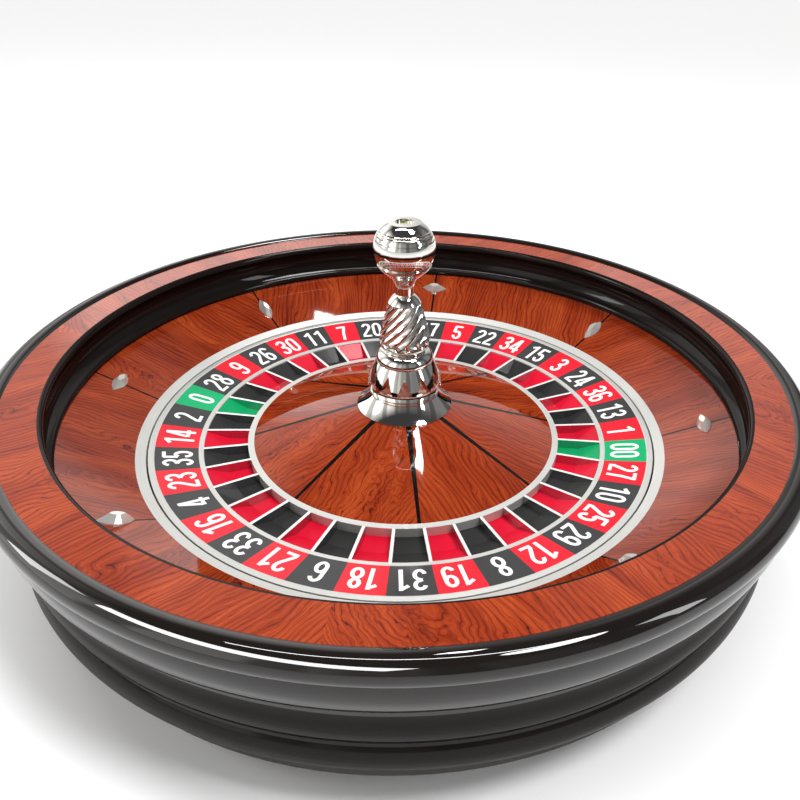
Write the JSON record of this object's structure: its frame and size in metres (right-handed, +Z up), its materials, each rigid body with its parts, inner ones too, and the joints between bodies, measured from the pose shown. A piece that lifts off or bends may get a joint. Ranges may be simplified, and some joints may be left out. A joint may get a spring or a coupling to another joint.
{
  "type": "roulette wheel",
  "caption": "Turned wooden roulette bowl with black mouldings, chrome deflectors and a spinning numbered rotor under a chrome turret.",
  "frame": {"origin": "centre of the resting face under the three levelling feet, on the spin axis", "axes": "+Z up along the rotor's spin axis; +X and +Y point at deflectors that lie across the apron"},
  "size_m": [0.8128, 0.8128, 0.3305],
  "materials": {
    "rosewood": "high-gloss clear lacquer",
    "black_lacquer": "gloss black lacquer",
    "frame_wood": "plain laminated board",
    "ebony_inlay": "gloss lacquer",
    "satin_silver": "satin",
    "panel_red": "gloss enamel",
    "panel_black": "gloss enamel",
    "panel_green": "gloss enamel",
    "lining_red": "satin enamel",
    "lining_black": "satin enamel",
    "lining_green": "satin enamel",
    "polished_chrome": "mirror polish",
    "button_brass": "polished",
    "cast_aluminium": "machined",
    "bearing_steel": "ground",
    "fastener_steel": "zinc plated",
    "foot_rubber": "matt"
  },
  "bodies": {
    "bowl": {"apron_board": "frame_wood", "apron_inlays": "ebony_inlay", "apron_panels": "rosewood", "apron_trim_ring": "satin_silver", "ball_track": "black_lacquer", "base_board": "frame_wood", "carrier_bolts": "fastener_steel", "deflector_1": "polished_chrome", "deflector_2": "polished_chrome", "deflector_3": "polished_chrome", "deflector_4": "polished_chrome", "deflector_5": "polished_chrome", "deflector_6": "polished_chrome", "deflector_7": "polished_chrome", "deflector_8": "polished_chrome", "deflector_screws": "fastener_steel", "foot_inserts": "fastener_steel", "frame_screws": "fastener_steel", "inner_races": "bearing_steel", "lower_moulding": "black_lacquer", "plinth_ring": "black_lacquer", "race_spacer": "bearing_steel", "rim_frame": "frame_wood", "rim_veneer": "rosewood", "spindle": "bearing_steel", "spindle_carrier": "cast_aluminium", "spindle_nut": "bearing_steel", "upper_moulding": "black_lacquer"},
    "rotor": {"rotor_pan": "cast_aluminium", "rotor_bolts": "fastener_steel", "number_carrier": "cast_aluminium", "rotor_rim": "satin_silver", "middle_ring": "satin_silver", "number_panels_red": "panel_red", "number_panels_black": "panel_black", "number_panels_green": "panel_green", "pocket_linings_red": "lining_red", "pocket_linings_black": "lining_black", "pocket_linings_green": "lining_green", "frets": "satin_silver", "inner_ring": "satin_silver", "cone_board": "frame_wood", "cone_panels": "rosewood", "cone_inlays": "ebony_inlay", "bearing_housing": "cast_aluminium", "outer_races": "bearing_steel", "housing_cap": "cast_aluminium", "turret_flange": "polished_chrome", "turret_bell": "polished_chrome", "turret_collar": "polished_chrome", "turret_column": "polished_chrome", "turret_neck": "polished_chrome", "finial": "polished_chrome", "finial_button": "button_brass", "tie_rod": "bearing_steel"},
    "lower_balls": {"ball_set_lower": "bearing_steel"},
    "upper_balls": {"ball_set_upper": "bearing_steel"},
    "foot_1": {"levelling_foot_1": "foot_rubber"},
    "foot_2": {"levelling_foot_2": "foot_rubber"},
    "foot_3": {"levelling_foot_3": "foot_rubber"}
  },
  "joints": [
    {"name": "rotor_spin", "type": "hinge", "parent": "bowl", "child": "rotor", "pos_m": [0, 0, 0.1], "axis": [0, 0, 1], "continuous": true},
    {"name": "lower_balls_orbit", "type": "hinge", "parent": "bowl", "child": "lower_balls", "pos_m": [0, 0, 0.0675], "axis": [0, 0, 1], "continuous": true},
    {"name": "upper_balls_orbit", "type": "hinge", "parent": "bowl", "child": "upper_balls", "pos_m": [0, 0, 0.1035], "axis": [0, 0, 1], "continuous": true},
    {"name": "foot_1_turn", "type": "hinge", "parent": "bowl", "child": "foot_1", "pos_m": [0.25115, 0.145, 0.02], "axis": [0, 0, 1], "range_deg": [-720, 720]},
    {"name": "foot_2_turn", "type": "hinge", "parent": "bowl", "child": "foot_2", "pos_m": [-0.25115, 0.145, 0.02], "axis": [0, 0, 1], "range_deg": [-720, 720]},
    {"name": "foot_3_turn", "type": "hinge", "parent": "bowl", "child": "foot_3", "pos_m": [0, -0.29, 0.02], "axis": [0, 0, 1], "range_deg": [-720, 720]}
  ],
  "couplings": [
    {"joint": "lower_balls_orbit", "follows": "rotor_spin", "ratio": 0.6031},
    {"joint": "upper_balls_orbit", "follows": "rotor_spin", "ratio": 0.6031}
  ]
}
